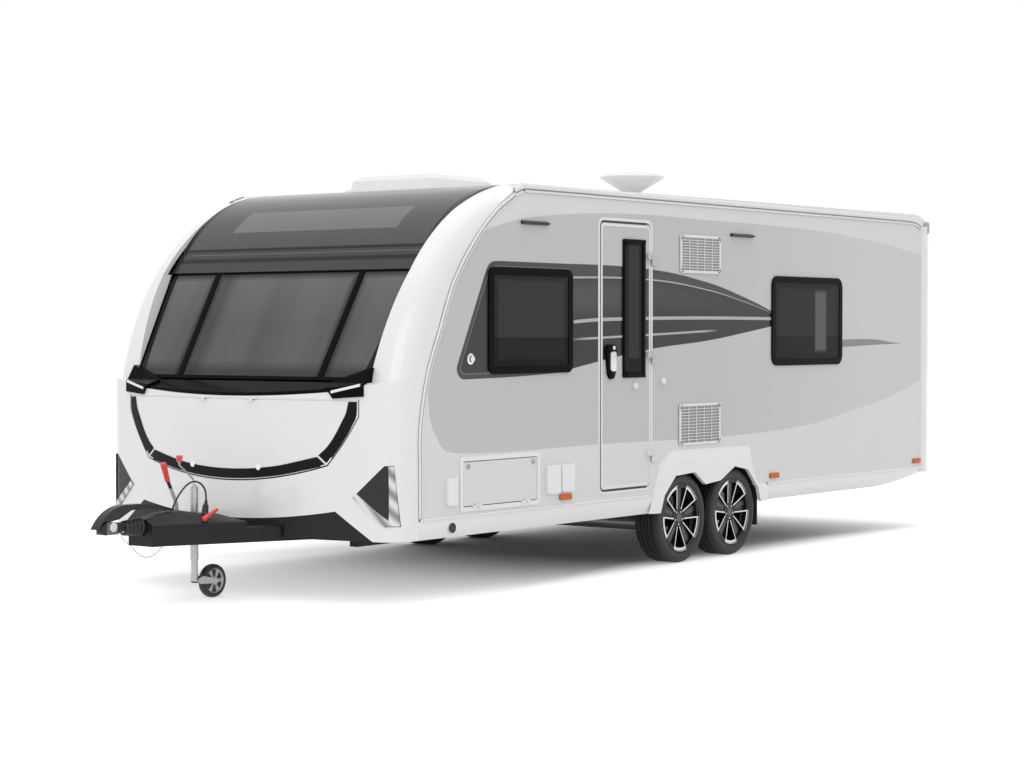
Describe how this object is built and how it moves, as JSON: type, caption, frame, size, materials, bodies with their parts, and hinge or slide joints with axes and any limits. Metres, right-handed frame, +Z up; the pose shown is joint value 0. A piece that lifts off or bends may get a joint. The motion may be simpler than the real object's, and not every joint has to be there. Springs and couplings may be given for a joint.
{
  "type": "travel caravan",
  "caption": "Twin-axle touring caravan with curved front windows, opening door and lids, drawbar hitch and jockey wheel.",
  "frame": {"origin": "on the ground, on the centreline, half way along the whole length", "axes": "+Z up, -Y forward towards the towing hitch, +X the nearside with the entrance door"},
  "size_m": [2.463, 8.105, 2.7523],
  "materials": {
    "white_shell": "gloss, smooth gel coat",
    "white_plastic": "satin",
    "floor_board": "matt",
    "dark_panel": "satin dark grey",
    "black_trim": "satin black",
    "tinted_window": "tinted, clear gloss",
    "rail_aluminium": "painted white",
    "clear_lens": "clear gloss",
    "amber_lens": "clear gloss",
    "red_lens": "clear gloss",
    "galvanised_steel": "galvanised",
    "tyre_rubber": "matt",
    "wheel_alloy": "dark paint with bright machined edges",
    "black_iron": "satin black",
    "bellows_rubber": "matt",
    "thin_cable": "red-grey sheath"
  },
  "bodies": {
    "caravan": {"awning_rails": "rail_aluminium", "axles": "galvanised_steel", "breakaway_cable": "thin_cable", "chassis_cross_members": "galvanised_steel", "chassis_fittings": "galvanised_steel", "chassis_side_members": "galvanised_steel", "corner_lamps": "dark_panel", "coupling_handle": "black_iron", "coupling_head": "black_iron", "floor_panel": "floor_board", "fridge_vents": "white_shell", "front_lamp_pods": "black_trim", "front_moulding": "white_shell", "front_upper_panel": "dark_panel", "front_valance": "dark_panel", "front_window_frame": "black_trim", "front_windows": "tinted_window", "gas_locker_box": "floor_board", "handbrake_lever": "black_iron", "hitch_cover": "dark_panel", "jockey_tube": "galvanised_steel", "mudflaps": "bellows_rubber", "nearside_wall": "white_shell", "offside_wall": "white_shell", "overrun_gaiter": "bellows_rubber", "position_lamps": "clear_lens", "rear_lamps": "red_lens", "rear_panel": "white_shell", "roof_aerial": "white_plastic", "roof_panel": "white_shell", "rooflights": "white_plastic", "service_fittings": "white_shell", "side_marker_lamps": "amber_lens", "side_skirts": "white_shell", "tow_cable": "bellows_rubber", "tow_plug": "bellows_rubber", "wheel_arch_trims": "white_shell", "window_frames": "black_trim", "windows": "tinted_window"},
    "wheel_front_nearside": {"tyre_front_nearside": "tyre_rubber", "rim_front_nearside": "wheel_alloy"},
    "wheel_front_offside": {"tyre_front_offside": "tyre_rubber", "rim_front_offside": "wheel_alloy"},
    "wheel_rear_nearside": {"tyre_rear_nearside": "tyre_rubber", "rim_rear_nearside": "wheel_alloy"},
    "wheel_rear_offside": {"tyre_rear_offside": "tyre_rubber", "rim_rear_offside": "wheel_alloy"},
    "jockey_inner": {"jockey_stem": "galvanised_steel"},
    "jockey_castor": {"jockey_fork": "galvanised_steel"},
    "jockey_roller": {"jockey_wheel": "tyre_rubber"},
    "door": {"entrance_door": "white_shell", "door_fittings": "black_trim", "door_window_pane": "tinted_window"},
    "gas_lid": {"gas_locker_lid": "white_shell"},
    "locker_flap": {"front_locker_door": "white_shell"},
    "cassette_flap": {"cassette_door": "white_shell"},
    "steady_fn": {"steady_front_nearside": "galvanised_steel"},
    "steady_fo": {"steady_front_offside": "galvanised_steel"},
    "steady_rn": {"steady_rear_nearside": "galvanised_steel"},
    "steady_ro": {"steady_rear_offside": "galvanised_steel"}
  },
  "joints": [
    {"name": "wheel_front_nearside_spin", "type": "hinge", "parent": "caravan", "child": "wheel_front_nearside", "pos_m": [1.09, 0.268, 0.31], "axis": [1, 0, 0], "continuous": true},
    {"name": "wheel_rear_nearside_spin", "type": "hinge", "parent": "caravan", "child": "wheel_rear_nearside", "pos_m": [1.09, 0.943, 0.31], "axis": [1, 0, 0], "continuous": true},
    {"name": "wheel_front_offside_spin", "type": "hinge", "parent": "caravan", "child": "wheel_front_offside", "pos_m": [-1.09, 0.268, 0.31], "axis": [1, 0, 0], "continuous": true},
    {"name": "wheel_rear_offside_spin", "type": "hinge", "parent": "caravan", "child": "wheel_rear_offside", "pos_m": [-1.09, 0.943, 0.31], "axis": [1, 0, 0], "continuous": true},
    {"name": "jockey_slide", "type": "slide", "parent": "caravan", "child": "jockey_inner", "axis": [0, 0, 1], "range_m": [-0.1, 0.08]},
    {"name": "jockey_swivel", "type": "hinge", "parent": "jockey_inner", "child": "jockey_castor", "pos_m": [0, -3.263, 0.15], "axis": [0, 0, 1], "continuous": true},
    {"name": "jockey_spin", "type": "hinge", "parent": "jockey_castor", "child": "jockey_roller", "pos_m": [0, -3.113, 0.1], "axis": [1, 0, 0], "continuous": true},
    {"name": "door_hinge", "type": "hinge", "parent": "caravan", "child": "door", "pos_m": [1.223, -0.149, 1.42], "axis": [0, 0, 1], "range_deg": [0, 165]},
    {"name": "gas_lid_hinge", "type": "hinge", "parent": "caravan", "child": "gas_lid", "pos_m": [0, -2.988, 1.198], "axis": [-1, 0, 0], "range_deg": [0, 70]},
    {"name": "locker_flap_hinge", "type": "hinge", "parent": "caravan", "child": "locker_flap", "pos_m": [1.217, -1.8325, 0.542], "axis": [0, 1, 0], "range_deg": [0, 100]},
    {"name": "cassette_flap_hinge", "type": "hinge", "parent": "caravan", "child": "cassette_flap", "pos_m": [-1.217, 2.581, 0.72], "axis": [0, 0, -1], "range_deg": [0, 110]},
    {"name": "steady_fn_hinge", "type": "hinge", "parent": "caravan", "child": "steady_fn", "pos_m": [0.9, -2.35, 0.3945], "axis": [-1, 0, 0], "range_deg": [0, 78]},
    {"name": "steady_fo_hinge", "type": "hinge", "parent": "caravan", "child": "steady_fo", "pos_m": [-0.9, -2.35, 0.3945], "axis": [-1, 0, 0], "range_deg": [0, 78]},
    {"name": "steady_rn_hinge", "type": "hinge", "parent": "caravan", "child": "steady_rn", "pos_m": [0.9, 3.56, 0.3945], "axis": [1, 0, 0], "range_deg": [0, 78]},
    {"name": "steady_ro_hinge", "type": "hinge", "parent": "caravan", "child": "steady_ro", "pos_m": [-0.9, 3.56, 0.3945], "axis": [1, 0, 0], "range_deg": [0, 78]}
  ]
}
